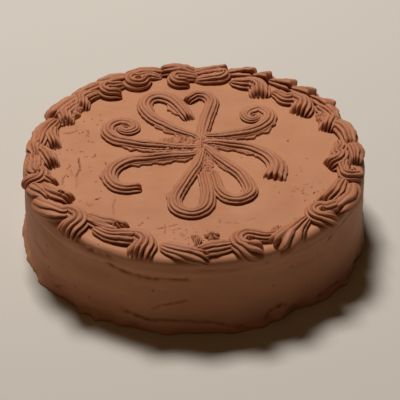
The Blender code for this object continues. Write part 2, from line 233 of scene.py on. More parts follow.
# The shells of the border, numbered from the front round to the back on each
# side: bends from the tail to the toothed end, widths along them, and height.
BORDER = {"left": (
    (((-22, -101), (-12, -108), (-2, -112), (5, -114)), (11, 15, 15, 12), 7),
    (((-68, -82), (-57, -91)), (9, 13, 18, 19), 9),
    (((-75, -69), (-66, -76), (-58, -81), (-50, -84)), (9, 14, 17, 14), 9),
    (((-109, -47), (-101, -58)), (9, 14, 18, 19), 9),
    (((-108, -31), (-102, -40), (-96, -46), (-89, -50)), (9, 15, 18, 15), 9),
    (((-106, -22), (-103, -26), (-99, -30)), (7, 9, 10, 9), 8),
    (((-112, 10), (-110, -4)), (12, 14, 15, 15), 8),
    (((-112, 14), (-108, 7), (-104, 1), (-101, -5)), (8, 12, 15, 13), 9),
    (((-99, 52), (-104, 40), (-108, 28), (-110, 16)), (9, 13, 15, 13), 9),
    (((-102, 42), (-102, 33), (-102, 25), (-100, 18)), (8, 10, 12, 11), 9),
    (((-84, 74), (-90, 65), (-94, 57), (-93, 50)), (10, 14, 15, 13), 8.5),
    (((-84, 82), (-93, 69), (-101, 56)), (9, 13, 14, 13), 9),
    (((-68, 88), (-76, 83), (-82, 76), (-82, 69)), (10, 14, 15, 12), 8.5),
    (((-62, 98), (-73, 90), (-83, 80)), (9, 13, 14, 13), 9),
    (((-50, 98),), (8, 11, 12, 11), 9),
    (((-44, 108), (-56, 103), (-67, 96)), (9, 13, 14, 13), 9),
    (((-24, 107), (-33, 109)), (8, 11, 12, 10), 9),
    (((-20, 115), (-33, 114), (-46, 110)), (9, 13, 14, 13), 9),
    (((5, 106),), (8, 11, 11, 10), 9),
    (((4, 113), (-8, 116), (-20, 115)), (9, 13, 14, 13), 9),
), "right": (
    (((30, -99), (21, -104), (13, -107), (6, -110)), (9, 14, 16, 12), 7.5),
    (((60, -89), (50, -94)), (8, 12, 16, 15), 9),
    (((78, -70), (73, -78), (68, -86), (63, -93), (59, -98)), (7, 12, 18, 20), 8.5),
    (((110, -44), (102, -52), (96, -58)), (8, 11, 13, 12), 8.5),
    (((104, -24), (101, -35), (98, -43), (93, -50)), (9, 12, 16, 15), 9),
    (((111, -29), (110, -40), (106, -50), (100, -59)), (8, 12, 12, 9), 8),
    (((105, 5), (105.5, -5), (104.5, -13)), (8, 10, 10, 6), 9),
    (((103, 24), (105, 14)), (9, 12, 15, 15), 9),
    (((97, 47), (104, 41), (109, 31), (111, 21)), (11, 14, 14, 12), 9),
    (((93, 61), (98, 53), (99, 47), (97, 41)), (10, 14, 15, 14), 8.5),
    (((84, 84), (92, 77), (98, 68)), (8, 12, 14, 14), 11),
    (((56, 88), (62, 84)), (8, 12, 17, 18), 9),
    (((70, 96), (78, 90), (85, 82)), (8, 12, 14, 14), 11),
    (((54, 106), (63, 102), (71, 96)), (8, 12, 14, 14), 11),
    (((26, 102), (32, 99)), (8, 12, 17, 17), 9),
    (((40, 112), (47, 110), (54, 105)), (8, 12, 13, 13), 11),
    (((22, 114), (32, 115), (42, 113)), (8, 12, 14, 14), 12),
    (((0, 103), (10, 104), (19, 105), (22, 109), (18, 112), (13, 110)), (8, 11, 11, 7), 8.5),
    (((-4, 111), (8, 114), (21, 114)), (10, 13, 14, 13), 10.5),
)}

# Where a shell ends in a curl: its middle and radius, the angles from and to,
# and how far it runs straight on.
CURLS = {
    "border_left_02": ((-42, -103), 9.0, 100, -22, 2),
    "border_left_04": ((-88, -76), 9.0, 100, -38, 2),
    "border_left_07": ((-114, -22), 7.5, 60, -75, 0),
    "border_left_15": ((-61, 88), 5.5, 75, 290, 0),
    "border_left_17": ((-42, 100), 5.5, 80, 350, 0),
    "border_left_19": ((-10, 102), 5.0, 75, 285, 0),
    "border_right_02": ((38, -100), 8.0, 70, 290, 0),
    "border_right_04": ((88, -67), 6.5, 65, 300, 0),
    "border_right_12": ((70, 67), 9.5, 105, -18, 2),
    "border_right_15": ((39, 88), 9.5, 105, -8, 0),
    "border_right_07": ((109.5, -19.5), 4.6, 160, 400, 0),
    "border_right_08": ((96, 1), 8.0, 35, -70, 0),
}
# Shells that rise to a stubby end.
RISING = ("border_right_11", "border_right_13", "border_right_14", "border_right_16",
          "border_right_17", "border_right_19")
CURL_STEP = 30

# Short strokes between the shells, and small stars left by the nozzle: place,
# radius, height, points and twist.
DABS = {
    "dab_front": (((-1, -91), (3, -97), (2, -104)), (5, 6, 6, 4), 5),
    "dab_left": (((-112, -30), (-108, -40), (-101, -50)), (8, 11, 12, 9), 7),
    "dab_rear_left": (((-111, 26), (-112, 14), (-111, 2)), (10, 13, 13, 10), 7),
    "dab_right": (((112, 22), (114, 10), (114, -2)), (8, 12, 12, 9), 7),
    "dab_rear_right": (((90, 70), (97, 60), (101, 49)), (9, 13, 13, 10), 8),
}
STARS = {
    "star_front": ((13, -92), 5.8, 3.6, 5, 1.4),
    "star_curl_right": ((37, -101), 4.0, 7.8, 4, 2.5),
    "star_curl_far_right": ((88, -67), 3.6, 7.8, 4, 2.5),
    "star_curl_rear": ((-41, 99), 4.5, 8.4, 4, -2.5),
    "star_curl_left": ((-108.5, -21), 5.5, 7.0, 4, 2.4),
    "star_inner_front": ((-51, -85), 5.4, 8.6, 4, 2.5),
    "star_inner_left": ((-91, -49), 5.0, 8.6, 4, 2.4),
}
# Smeared heaps: place, radii, turn, height and roughness.
SMEARS = {
    "smear_hub": ((-8, 19), (27, 12), 8, 2.1, 0.5),
    "smear_hub_right": ((12, 19), (12, 11), 0, 1.4, 0.45),
    "smear_hub_front": ((8, -3), (6, 12), 8, 1.7, 0.3),
    "smear_right": ((58, -84), (7, 5), 30, 2.2, 0.35),
    "smear_rear_left": ((-91, 58), (8, 17), -30, 4.8, 0.4),
    "smear_rear_right": ((96, 50), (7, 12), 20, 5.6, 0.4),
}
# The mesh of a heap, from its edge to its core, and its unevenness.
MOUND_COLUMNS = 140
MOUND_RINGS = 36
MOUND_CORE = 0.03
MOUND_SUNK = 1.2
MOUND_LAYERS = 4
MOUND_GRAIN = 4.5
MOUND_RAGGED = 0.16
MOUND_TONE = 0.25
RING_FEATURE = 1.2
TONE_FEATURE = 3.0
DOME_FLATNESS = 2.4
DOME_SHOULDER = 0.7
DOME_CALM = 3
STAR_BITE = 0.42
STAR_ROUGH = 0.1
STAR_TIP = 0.3

# Small tears on the top: middle, spread in x and y, and how many.
PIT_CLUSTERS = ((-84, -5, 5, 18, 7), (-35, -84, 18, 4, 4), (-5, -88, 10, 4, 5),
                (80, -34, 6, 5, 4), (86, -44, 5, 4, 3), (60, -10, 18, 20, 3),
                (-50, 66, 20, 10, 2), (45, -76, 26, 7, 2))
# Pits in the top: x and y.
PITS = ((-76, 37), (-76, 32), (-72, 23), (-75, 24), (-75, 5), (-70, 5), (-62, -3),
        (-78, -50), (-68, -27), (-8, -88), (-5, -94), (72, -19), (79, -30), (82, -34),
        (86, -39), (88, -41), (90, -37), (80, 2))
# Cracks in the top: depth, then where each runs.
CRACKS = (
    (0.55, ((-93, 34), (-89, 34), (-85, 36))),
    (0.45, ((-77, 38), (-75, 34), (-77, 30))),
    (0.65, ((-81, 3), (-81, -2), (-80, -7), (-80, -12), (-82, -20))),
    (0.3, ((-82, -20), (-81, -28), (-81, -35))),
    (0.45, ((-87, -5), (-87, -8), (-89, -11))),
    (0.35, ((-86, -12), (-85, -18))),
    (0.5, ((-89, -18), (-91, -22), (-91, -30))),
    (0.3, ((-85, 44), (-84, 36))),
    (0.8, ((-67, -48), (-64, -46))),
    (0.4, ((-73, -53), (-71, -56), (-69, -54))),
    (0.35, ((-54, -48), (-55, -57), (-54, -66))),
    (0.55, ((-36, -78), (-34, -75))),
    (0.55, ((-24, -82), (-21, -81))),
    (0.4, ((-19, -77), (-19, -88))),
    (0.5, ((-11, -77), (-16, -79))),
    (0.5, ((-9, -82), (-13, -83))),
    (0.4, ((18, -71), (18, -75))),
    (0.3, ((22, -75), (31, -75))),
    (0.25, ((35, -73), (42, -70))),
    (0.3, ((70, -34), (74, -38), (79, -43))),
    (0.3, ((75, -8), (76, -15))),
)
# Creases and tears in the side: depth, how far the icing below stands out, and
# angle and height along each.
SIDE_LINES = (
    (0.8, -0.5, ((228, 57), (235, 54), (243, 54))),
    (0.9, 0.5, ((241, 47), (247, 44), (256, 43), (268, 44))),
    (0.4, 0.2, ((272, 53), (283, 51))),
    (0.8, 0.3, ((320, 46), (327, 50), (336, 50))),
    (0.7, 0.8, ((257, 18), (260, 22), (268, 27))),
    (0.35, 0.4, ((271, 22), (276, 25))),
    (0.6, 1.5, ((248, 12), (255, 9), (262, 10), (276, 9), (281, 5), (288, 2))),
    (0.9, 1.4, ((294, 5), (296, 9), (300, 11), (302, 9))),
    (0.6, 1.2, ((315, 5), (323, 5), (330, 2), (338, 3))),
    (0.6, 0.7, ((219, 6), (223, 11))),
    (0.3, 0.3, ((204, 26), (212, 24))),
    (0.5, 1.0, ((8, 9), (22, 12), (38, 11))),
    (0.5, 0.9, ((58, 12), (70, 9), (86, 12))),
    (0.6, 1.1, ((112, 7), (126, 10), (142, 8))),
    (0.5, 0.9, ((160, 12), (174, 9), (190, 11))),
    (0.7, 0.4, ((30, 48), (46, 50), (60, 49))),
    (0.7, 0.4, ((128, 50), (150, 48), (166, 49))),
)
# How the lines are pressed in: width, how they wobble, how the depth varies
# along them with what feature size, and depth and painted shade.
CRACK_WIDTH = 0.68
CRACK_WOBBLE = 0.25
CRACK_FADE = (0.13, 5.0)
CRACK_SHADE = 1.9
LINE_WIDTH = 1.5
LINE_WOBBLE = 0.15
LINE_FADE = (0.2, 9.0)
LINE_DEPTH = 1.1
LINE_SHADE = 0.75
LINE_STEP = 0.5
WOBBLE_FEATURE = 3.0
WOBBLE_SEEDS = 1000
BELOW_REACH = 5.0
CREASE_FADE = 5.0
# Pits in the side: angle and height.
SIDE_PIT_PLACES = ((213, 33), (222, 27), (214, 16), (228, 16), (234, 13), (237, 46),
                   (241, 36), (243, 19), (246, 23), (246, 8), (257, 33), (285, 16),
                   (297, 29), (304, 40), (305, 34), (308, 15), (313, 14), (315, 40))
# Lumps and notches at the foot: angle, height, radius and how far out.
LUMPS = ((211, 1, 5, 1.5), (232, 0, 3, 3.4), (238, 0, 4, 2.6), (246, 0, 4, 3.0),
         (246, 9, 4, 1.8), (251, 0, 4, -2.0), (262, 1, 6, 1.0), (292, 0, 6, 2.2),
         (299, 3, 4, 2.4), (307, 1, 7, -3.4), (318, 2, 5, 1.4), (328, 1, 5, 2.4),
         (340, 0, 5, -1.5), (350, 1, 4, 1.6), (8, 2, 4, 1.3), (20, 0, 5, -1.6),
         (33, 1, 4, 1.8), (55, 0, 5, 1.6), (68, 0, 4, -1.6), (83, 2, 4, 1.6),
         (104, 1, 5, 1.3), (118, 0, 5, -1.8), (128, 2, 4, 1.9), (141, 1, 4, 1.4),
         (158, 0, 5, -1.4), (170, 1, 5, 1.8), (184, 2, 3, 1.5), (198, 0, 4, 1.6))
# All marks: how far around each the faces are cut, how many a point feels,
# the least depth that moves it, and the attribute that holds the painted shade.
MARK_REACH = 2.2
MARKS_FELT = 10
SHALLOWEST = 0.01
SHADE_MARK = "groove"
TEAR_MARKS = 4
TEAR_REACH = (0.2, 1.4)
# Painted shade in the tears on top, for each unit of depth.
TOP_TEAR_SHADE = 0.9
PIT_SIZE = (0.35, 0.65)
PIT_DEPTH = (0.25, 0.7)
SIDE_PITS = 60
SIDE_PIT_HEIGHTS = (3, CAKE_HEIGHT - 8)
# Painted shade in the scattered pits in the side.
SIDE_PIT_SHADE = 0.7
# Crumbs: middle, spread in x and y, and how many.
CRUMB_CLUSTERS = ((-78, 10, 12, 28, 26), (-25, -92, 28, 5, 26), (80, -42, 10, 9, 24),
                  (10, -95, 16, 4, 14), (0, 0, 60, 60, 18))
CRUMB_SIZE = (0.28, 0.62)
CRUMB_STRETCH = (0.6, 1.3)
CRUMB_FACETS = 2
CRUMB_LIFT = 0.3
CRUMB_BUMP = 0.18
CRUMB_SEED = 7

# The camera of the photograph: the middle of the top, and the focal length,
# are in pixels of a 400 pixel frame.
PHOTO_PIXELS = 400
FOCAL_PIXELS = 2125.0
TOP_CENTRE_PIXEL = (193.7, 160.0)
CAMERA_ELEVATION = 35.4
CAMERA_DISTANCE = 1.5
SENSOR_WIDTH = 36.0

ICING_LIGHT = (0.50, 0.226, 0.118)
ICING_DARK = (0.455, 0.197, 0.10)
PIPING_LIGHT = (0.47, 0.19, 0.095)
PIPING_DARK = (0.395, 0.152, 0.073)
# The dark colour that painted shade in grooves, creases, cracks, tears and pits darkens towards.
GROOVE_SHADE_COLOUR = (0.16, 0.041, 0.011)
# Scale of the fine grain, and gloss.
ICING_FINISH = (900, 0.22)
PIPING_FINISH = (1100, 0.36)
SOFT_ICING = {"Subsurface Weight": 0.12, "Subsurface Radius": (1.0, 0.42, 0.22),
              "Subsurface Scale": 1.6 * MM}
# Noise: scale, detail and roughness, or only the last two where the scale is
# that of the grain. Ranges: from, to, and what these become. Bumps: strength
# and height. The soft bump's noise is this many times larger than the fine.
PATCH_NOISE = (28, 4, 0.55)
PATCH_RANGE = (0.35, 0.65, 0, 1)
# How the painted shade attribute becomes a share of that dark colour.
SHADE_RANGE = (0.15, 1.0, 0, 0.8)
SHINE_NOISE = (90, 3, 0.6)
SHINE_RANGE = (0.3, 0.7, 0.55, 0.75)
FINE_NOISE = (5, 0.62)
FINE_BUMP = (0.35, 0.12 * MM)
SOFT_NOISE = (4, 0.5)
SOFT_BUMP = (0.3, 0.5 * MM)
SOFT_LARGER = 6

FLOOR_SIZE = 8
FLOOR_COLOUR = (0.57, 0.54, 0.5)
FLOOR_ROUGHNESS = 0.9
# Lights: place and size in metres, power and colour.
LIGHTS = {"key": ((-0.34, 0.95, 2.1), 0.6, 56, (1.0, 0.96, 0.9)),
          "fill": ((-0.9, -1.2, 1.0), 1.2, 0.9, (1.0, 0.5, 0.16))}
ROOM_COLOUR = (1.0, 0.62, 0.28)
ROOM_STRENGTH = 0.035


def waves(points, size, seed):
    """Smooth noise of about unit spread, whose features have this size."""
    rng = np.random.default_rng(seed)
    points = np.asarray(points, float)
    ways = rng.normal(size=(WAVE_COUNT, points.shape[-1]))
    ways /= np.linalg.norm(ways, axis=1)[:, None]
    ways *= 2 * math.pi / size * rng.uniform(*WAVE_SPREAD, WAVE_COUNT)[:, None]
    phases = rng.uniform(0, 2 * math.pi, WAVE_COUNT)
    return np.sin(points @ ways.T + phases).sum(axis=-1) / math.sqrt(WAVE_COUNT / 2)


def layered_waves(points, size, seed, layers):
    """Noise with ever finer layers, each half as strong."""
    return sum(waves(points, size / 2 ** k, seed + k) / 2 ** k for k in range(layers))


def wavy(plain, round_waves, angle):
    """A length that varies in a few even waves round the cake."""
    return plain + sum(reach * np.sin(count * angle + phase)
                       for reach, count, phase in round_waves)


def rim_radius(angle):
    """The spatula leaves the outline a little out of round."""
    return wavy(TOP_RADIUS, RIM_WAVES, angle)


def foot_reach(angle):
    """How far the foot spreads, with the lumps where icing runs out."""
    reach = wavy(FOOT_FLARE, FOOT_WAVES, angle)
    for middle, width, out in FOOT_LUMPS:
        away = (np.degrees(angle) - middle + 180) % 360 - 180
        reach = reach + out * np.exp(-((away / width) ** 2) * FOOT_LUMP_FALL)
    return reach


def side_radius(angle, below_top):
    """The side's radius; the crease shows on the left and at the front."""
    ledge = LEDGE_DEPTH * (0.5 + 0.5 * np.cos(angle - math.radians(LEDGE_ANGLE)))
    return (rim_radius(angle) + ledge * np.interp(below_top, *LEDGE_LINE)
            + foot_reach(angle) * np.interp(below_top, *FOOT_LINE))


def swell(x, y):
    """How the spatula left the top gently uneven."""
    flat = np.stack(np.broadcast_arrays(x, y), axis=-1)
    return SWELL * waves(flat, SWELL_SIZE, SEEDS["swell"])


def on_cake(x, y, above):
    """Points this far above the icing, x and y measured along it."""
    above = above + swell(x, y)
    along = np.hypot(x, y)
    angle = np.arctan2(y, x)
    edge = rim_radius(angle) - RIM_ROUND
    past = np.maximum(along - edge, 0)
    turn = np.minimum(past / RIM_ROUND, math.pi / 2)
    beyond = np.maximum(past - RIM_ROUND * math.pi / 2, 0)
    out = np.minimum(along, edge) + (RIM_ROUND + above) * np.sin(turn)
    height = CAKE_HEIGHT - RIM_ROUND + (RIM_ROUND + above) * np.cos(turn) - beyond
    return np.stack([out * np.cos(angle), out * np.sin(angle), height], axis=-1)


def curve_through(bends):
    """Even stations on a smooth curve through the bends, and its normals."""
    bends = np.array(bends, float)
    ends = np.vstack([2 * bends[0] - bends[1], bends, 2 * bends[-1] - bends[-2]])
    t = np.linspace(0, 1, CURVE_PARTS, endpoint=False)[:, None]
    fine = [0.5 * (2 * b + (c - a) * t + (2 * a - 5 * b + 4 * c - d) * t ** 2
                   + (3 * b - a - 3 * c + d) * t ** 3)
            for a, b, c, d in (ends[i:i + 4] for i in range(len(bends) - 1))]
    fine = np.vstack(fine + [bends[-1:]])
    gone = np.append(0, np.cumsum(np.hypot(*np.diff(fine, axis=0).T)))
    at = np.linspace(0, gone[-1], max(int(gone[-1] / STATION_STEP), FEWEST_STEPS) + 1)
    places = np.column_stack([np.interp(at, gone, fine[:, k]) for k in (0, 1)])
    ahead = np.gradient(places, axis=0)
    ahead /= np.hypot(*ahead.T)[:, None]
    return places, np.column_stack([-ahead[:, 1], ahead[:, 0]]), at


def bend_limits(places, normals, at):
    """How far each station may reach to its left and right in a tight turn."""
    steps = np.gradient(places, axis=0)
    bend = (np.gradient(normals, axis=0) * steps).sum(axis=1) / (steps ** 2).sum(axis=1)
    reach = max(int(BEND_WINDOW / (at[1] - at[0]) / 2), 1)
    kernel = np.hanning(2 * reach + 3)[1:-1]
    bend = np.convolve(np.pad(bend, reach, mode="edge"), kernel / kernel.sum(), "valid")
    tight = BEND_FILL / np.maximum(np.abs(bend), STRAIGHT)
    return np.where(bend < 0, tight, ANY_REACH), np.where(bend > 0, tight, ANY_REACH)


def fit_to_bends(across, half, places, normals, at):
    """Draws in the inner side of a tight turn, so that it doesn't fold."""
    left, right = bend_limits(places, normals, at)
    left_fit = np.minimum(1, left[:, None] / half)
    right_fit = np.minimum(1, right[:, None] / half)
    return np.where(across > 0, across * left_fit, across * right_fit)


def window(t, start, end, soft):
    """1 between start and end, fading to 0 outside."""
    rise = np.clip((t - start) / soft + 0.5, 0, 1)
    fall = np.clip((end - t) / soft + 0.5, 0, 1)
    return rise * fall


def skirt_reach(at, side, flanges, seed):
    """How far icing is squeezed out at the foot of a stroke, on one side."""
    t = at / at[-1]
    ragged = layered_waves(at[:, None], SKIRT_FEATURE, seed + side, SKIRT_LAYERS)
    reach = SKIRT_REACH + SKIRT_RAGGED * ragged
    for flange_side, start, end, out in flanges:
        if flange_side == side:
            part = window(t, start, end, FLANGE_FADE)
            reach = reach + out * part * (1 + FLANGE_RAGGED * ragged)
    return np.maximum(reach, SKIRT_LEAST)[:, None]


def skirt(edge, out, way, sunk):
    """The squeezed-out icing beside an edge: across and height of its points."""
    lifts = np.array(SKIRT_LIFTS)[None, :]
    thick = SKIRT_THICK + FLANGE_THICK * np.clip(out - FLANGE_FROM, 0, 1)
    return edge + way * out * np.array(SKIRT_SHARES)[None, :], thick * lifts - (lifts == 0) * sunk


def add_skirts(across, rise, at, flanges, style, seed):
    """The arch with squeezed-out icing along both of its edges."""
    right_out, left_out = (skirt_reach(at, side, flanges, seed + SKIRT_SEEDS[side])
                           for side in (-1, 1))
    right_x, right_z = skirt(across[:, :1], right_out, -1, style["sunk"])
    left_x, left_z = skirt(across[:, -1:], left_out, 1, style["sunk"])
    return (np.hstack([right_x, across, left_x[:, ::-1]]),
            np.hstack([right_z, rise, left_z[:, ::-1]]))


def tapered(at, widths, heights, tip):
    """Half the width, and the height, at each station, less towards the tail."""
    t = at / at[-1]
    width = np.interp(t, *widths)
    height = np.minimum(np.interp(t, *heights), width * TALLEST)
    share = np.sqrt(np.clip(at / tip, TAIL_TIP, 1))
    half = 0.5 * width * share
    return half[:, None], np.maximum(height * share, LOW_WALL + LOWEST_ARCH)[:, None]


def grain(grid, kind, seed):
    """One layer of unevenness over a piece of piping."""
    strength, stretch, size = kind
    return strength * waves(grid / stretch, size, seed)


def ridged(at, opening, style, seed):
    """How far each point reaches out, how near a ridge it is, and its painted shade."""
    t = (at / at[-1])[:, None]
    u = np.linspace(0, 1, style["ridges"] * POINTS_PER_RIDGE + 1)[None, :]
    grid = np.stack(np.broadcast_arrays(u * GRID_WIDTH, at[:, None]), axis=-1)
    wander = grain(at[:, None], RIDGE_WANDER, seed)[:, None] * np.sin(math.pi * u)
    crest = np.abs(np.sin(math.pi * style["ridges"] * (u + wander))) ** CREST_SHAPE
    deep = style["groove"] * (TAIL_GROOVE + (1 - TAIL_GROOVE) * np.clip(t / TAIL_PART, 0, 1))
    deep = deep * (1 + grain(grid, GROOVE_GRAIN, seed + 1)) * (1 + END_GROOVE * opening)
    torn = np.maximum(grain(grid, TEAR_GRAIN, seed + 4) - TEAR_LEVEL, 0)
    rough = style["rough"] * np.clip(1 - t / ROUGH_PART, LEAST_ROUGH, 1)
    reach = 1 - deep * (1 - crest)
    reach += grain(grid, LONG_GRAIN, seed + 2)
    reach += grain(grid, CROSS_GRAIN, seed + 3)
    reach -= TEAR_DEPTH * torn + rough * grain(grid, FINE_GRAIN, seed + 5)
    # Painted shade in the grooves between the ridges and in the torn spots.
    shade_tone = (1 - crest) * np.minimum(1, deep / style["groove"]) * style["dark"]
    return reach, crest, np.clip(shade_tone + TORN_PIPING_SHADE * torn, 0, 1)


def arched(half, height, reach, shape):
    """Across and height of each point of the arch, from right to left."""
    turn = math.pi * (1 - np.linspace(0, 1, reach.shape[1])[None, :])
    across = half * reach * np.cos(turn)
    return across, (height - LOW_WALL) * reach * np.sin(turn) ** shape + LOW_WALL


def round_off(across, rise, shift, shade_tone, lead, style):
    """Adds the rows that close the blunt end, each point leading by its own."""
    turns = np.radians(NOSE_TURNS)[:, None]
    low = 1 - np.cos(turns)
    across = np.vstack([across, across[-1:] * (1 - style["pinch"] * low)])
    fallen = rise[-1:] * np.cos(turns) ** NOSE_FALL - NOSE_SUNK * style["sunk"] * low
    shift = np.vstack([shift, shift[-1:] + np.sin(turns) * lead])
    # The rows turning down get more painted shade.
    shade_tone = np.vstack([shade_tone, np.clip(shade_tone[-1:] + NOSE_SHADE * low, 0, 1)])
    return across, np.vstack([rise, fallen]), shift, shade_tone


def swept(places, normals, across, rise, shift):
    """The rows of points, laid on the cake along the curve."""
    last = np.minimum(np.arange(len(across)), len(places) - 1)
    places, normals = places[last], normals[last]
    x = places[:, :1] + normals[:, :1] * across + normals[:, 1:] * shift
    y = places[:, 1:] + normals[:, 1:] * across - normals[:, :1] * shift
    return on_cake(x, y, rise)


def piped(name, bends, widths, heights, style, seed, flanges=()):
    """A star-nozzle stroke: ridges over an arch, swept along the bends."""
    places, normals, at = curve_through(bends)
    half, height = tapered(at, widths, heights, style["tip"])
    opening = np.clip(1 - (at[-1] - at) / END_OPENING, 0, 1)[:, None]
    reach, crest, shade_tone = ridged(at, opening, style, seed)
    across, rise = arched(half, height, reach, style["arch"])
    across, rise = add_skirts(across, rise, at, flanges, style, seed)
    across = fit_to_bends(across, half, places, normals, at)
    beside = ((0, 0), (len(SKIRT_SHARES), len(SKIRT_SHARES)))
    # The squeezed-out icing gets a little painted groove shade.
    shade_tone = np.pad(shade_tone, beside, constant_values=SKIRT_SHADE)
    crest = np.pad(crest, beside, constant_values=SKIRT_CREST)

    full = min(1, widths[1][-1] / FULL_END)
    shift = style["tooth"] * (crest - TOOTH_MIDDLE) * opening ** 2 * full
    lead = style["nose"] * (NOSE_EVEN + (1 - NOSE_EVEN) * crest[-1:]) * full
    across, rise, shift, shade_tone = round_off(across, rise, shift, shade_tone, lead, style)
    rows = swept(places, normals, across, rise, shift)
    return grid_mesh(name, rows, shade_tone, rows[0].mean(axis=0), rows[-1].mean(axis=0))


def turned(place, along, beside, turn):
    """Points this far along and beside a line that is turned by this much."""
    way = math.radians(turn)
    x = place[0] + along * math.cos(way) - beside * math.sin(way)
    y = place[1] + along * math.sin(way) + beside * math.cos(way)
    return x, y


def mound(name, place, radii, turn, height, rough, points=0, twist=0.0, seed=0):
    """A low heap of icing, or with points a small star that the nozzle turned."""
    angle = np.linspace(0, 2 * math.pi, MOUND_COLUMNS, endpoint=False)[None, :]
    share = np.linspace(1, MOUND_CORE, MOUND_RINGS)[:, None]
    crest = np.ones((MOUND_RINGS, MOUND_COLUMNS))
    if points:
        crest = np.abs(np.sin(0.5 * points * angle + twist * (1 - share))) ** CREST_SHAPE
    ring = np.stack(np.broadcast_arrays(np.cos(angle), np.sin(angle)), axis=-1)
    ragged = (1 + MOUND_RAGGED * rough * layered_waves(ring, RING_FEATURE, seed, MOUND_LAYERS)
              - STAR_BITE * (1 - crest) * share)
    x, y = turned(place, radii[0] * share * ragged * np.cos(angle),
                  radii[1] * share * ragged * np.sin(angle), turn)
    flat = np.stack([x, y], axis=-1)
    dome = (1 - share ** DOME_FLATNESS) ** DOME_SHOULDER
    rise = height * dome * (1 - STAR_BITE * (1 - crest))
    bumps = rough * layered_waves(flat, MOUND_GRAIN, seed + 5, MOUND_LAYERS)
    rise = rise + bumps * np.minimum(1, DOME_CALM * dome)
    rise[0] -= MOUND_SUNK
    # Painted shade in the grooves between a star's points, and tone that varies at random.
    shade_tone = np.clip((1 - crest) + MOUND_TONE * rough * waves(flat, TONE_FEATURE, seed + 9), 0, 1)
    return grid_mesh(name, on_cake(x, y, rise), shade_tone, on_cake(*place, -MOUND_SUNK),
                     on_cake(*place, height + STAR_TIP * bool(points)))


def add_object(name, mesh):
    """Puts a mesh in the scene, smoothly shaded."""
    mesh.shade_smooth()
    obj = bpy.data.objects.new(name, mesh)
    bpy.context.scene.collection.objects.link(obj)
    return obj


def ring_faces(count, around):
    """Faces between rings of points, closed by a point at each end."""
    index = np.arange(count * around).reshape(count, around)
    beside = np.roll(index, -1, axis=1)
    start, end = count * around, count * around + 1
    quads = np.stack([index[:-1], beside[:-1], beside[1:], index[1:]], axis=-1)
    faces = quads.reshape(-1, 4).tolist()
    faces += [(start, b, a) for a, b in zip(index[0].tolist(), beside[0].tolist())]
    faces += [(end, a, b) for a, b in zip(index[-1].tolist(), beside[-1].tolist())]
    return faces


def grid_mesh(name, rows, shade_tone, first, last):
    """One closed body from rings of equal length and a point at each end."""
    points = np.vstack([rows.reshape(-1, 3), first, last]) * MM
    shade_tones = np.concatenate([shade_tone.ravel(), shade_tone[:1].mean(keepdims=True)[0],
                            shade_tone[-1:].mean(keepdims=True)[0]])
    mesh = bpy.data.meshes.new(name)
    mesh.from_pydata(points.tolist(), [], ring_faces(*rows.shape[:2]))
    work = bmesh.new()
    work.from_mesh(mesh)
    bmesh.ops.recalc_face_normals(work, faces=work.faces)
    work.to_mesh(mesh)
    work.free()
    # Each point's painted shade, kept as an attribute for the colour.
    marks = mesh.attributes.new(SHADE_MARK, "FLOAT", "POINT")
    marks.data.foreach_set("value", shade_tones.astype(np.float32))
    return add_object(name, mesh)


def place_piece(obj, material, node=None):
    """Gives a piece its finish and, with a node, puts it in that node's place."""
    obj.data.materials.append(material)
    if node:
        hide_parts(node)
    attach(obj, "root")


def side_point(angle, height):
    """A point on the side, at this angle in degrees and this height."""
    way = math.radians(angle)
    radius = float(side_radius(way, CAKE_HEIGHT - height))
    return (radius * math.cos(way), radius * math.sin(way), height)


def along_line(points, rng, wobble):
    """Places every half millimetre along a line, a little unsteady."""
    points = np.array(points, float)
    gone = np.append(0, np.cumsum(np.linalg.norm(np.diff(points, axis=0), axis=1)))
    at = np.linspace(0, gone[-1], max(int(gone[-1] / LINE_STEP), 2))
    places = np.column_stack([np.interp(at, gone, points[:, k]) for k in range(points.shape[1])])
    seed = int(rng.integers(WOBBLE_SEEDS))
    return places + wobble * waves(at[:, None], WOBBLE_FEATURE, seed)[:, None]


def unsteady(count, wave, size, seed):
    """How strongly a line is pressed in at each of its places."""
    at = np.arange(count)[:, None] * LINE_STEP
    return (1 - wave + wave * waves(at, size, seed)).tolist()


def tears_in_top(rng):
    """Small tears, each a short row of marks."""
    marks = []
    for x, y, spread_x, spread_y, count in PIT_CLUSTERS:
        for _ in range(count):
            at = rng.normal((x, y), (spread_x, spread_y))
            way = rng.uniform(0, math.pi)
            depth = rng.uniform(*PIT_DEPTH)
            for part in np.linspace(-1, 1, TEAR_MARKS) * rng.uniform(*TEAR_REACH):
                point = on_cake(at[0] + part * math.cos(way), at[1] + part * math.sin(way), 0.0)
                # Each mark gets painted shade in step with its depth.
                marks.append((point, rng.uniform(*PIT_SIZE), depth, TOP_TEAR_SHADE * depth))
    return marks


def cracks_in_top(rng):
    """The fine cracks."""
    marks = []
    for number, (depth, points) in enumerate(CRACKS):
        line = along_line(points, rng, CRACK_WOBBLE)
        for (x, y), part in zip(line, unsteady(len(line), *CRACK_FADE, number)):
            # Painted shade in each crack, in step with its depth.
            marks.append((on_cake(x, y, 0.0), CRACK_WIDTH, depth * part,
                          CRACK_SHADE * depth * part))
    return marks


def lines_in_side(rng):
    """The creases and tears in the side."""
    marks = []
    for number, (depth, _, points) in enumerate(SIDE_LINES):
        line = along_line([side_point(*point) for point in points], rng, LINE_WOBBLE)
        for point, part in zip(line, unsteady(len(line), *LINE_FADE, number)):
            # Painted shade in each crease, in step with its depth.
            marks.append((point, LINE_WIDTH, LINE_DEPTH * depth * part,
                          LINE_SHADE * depth * part))
    return marks


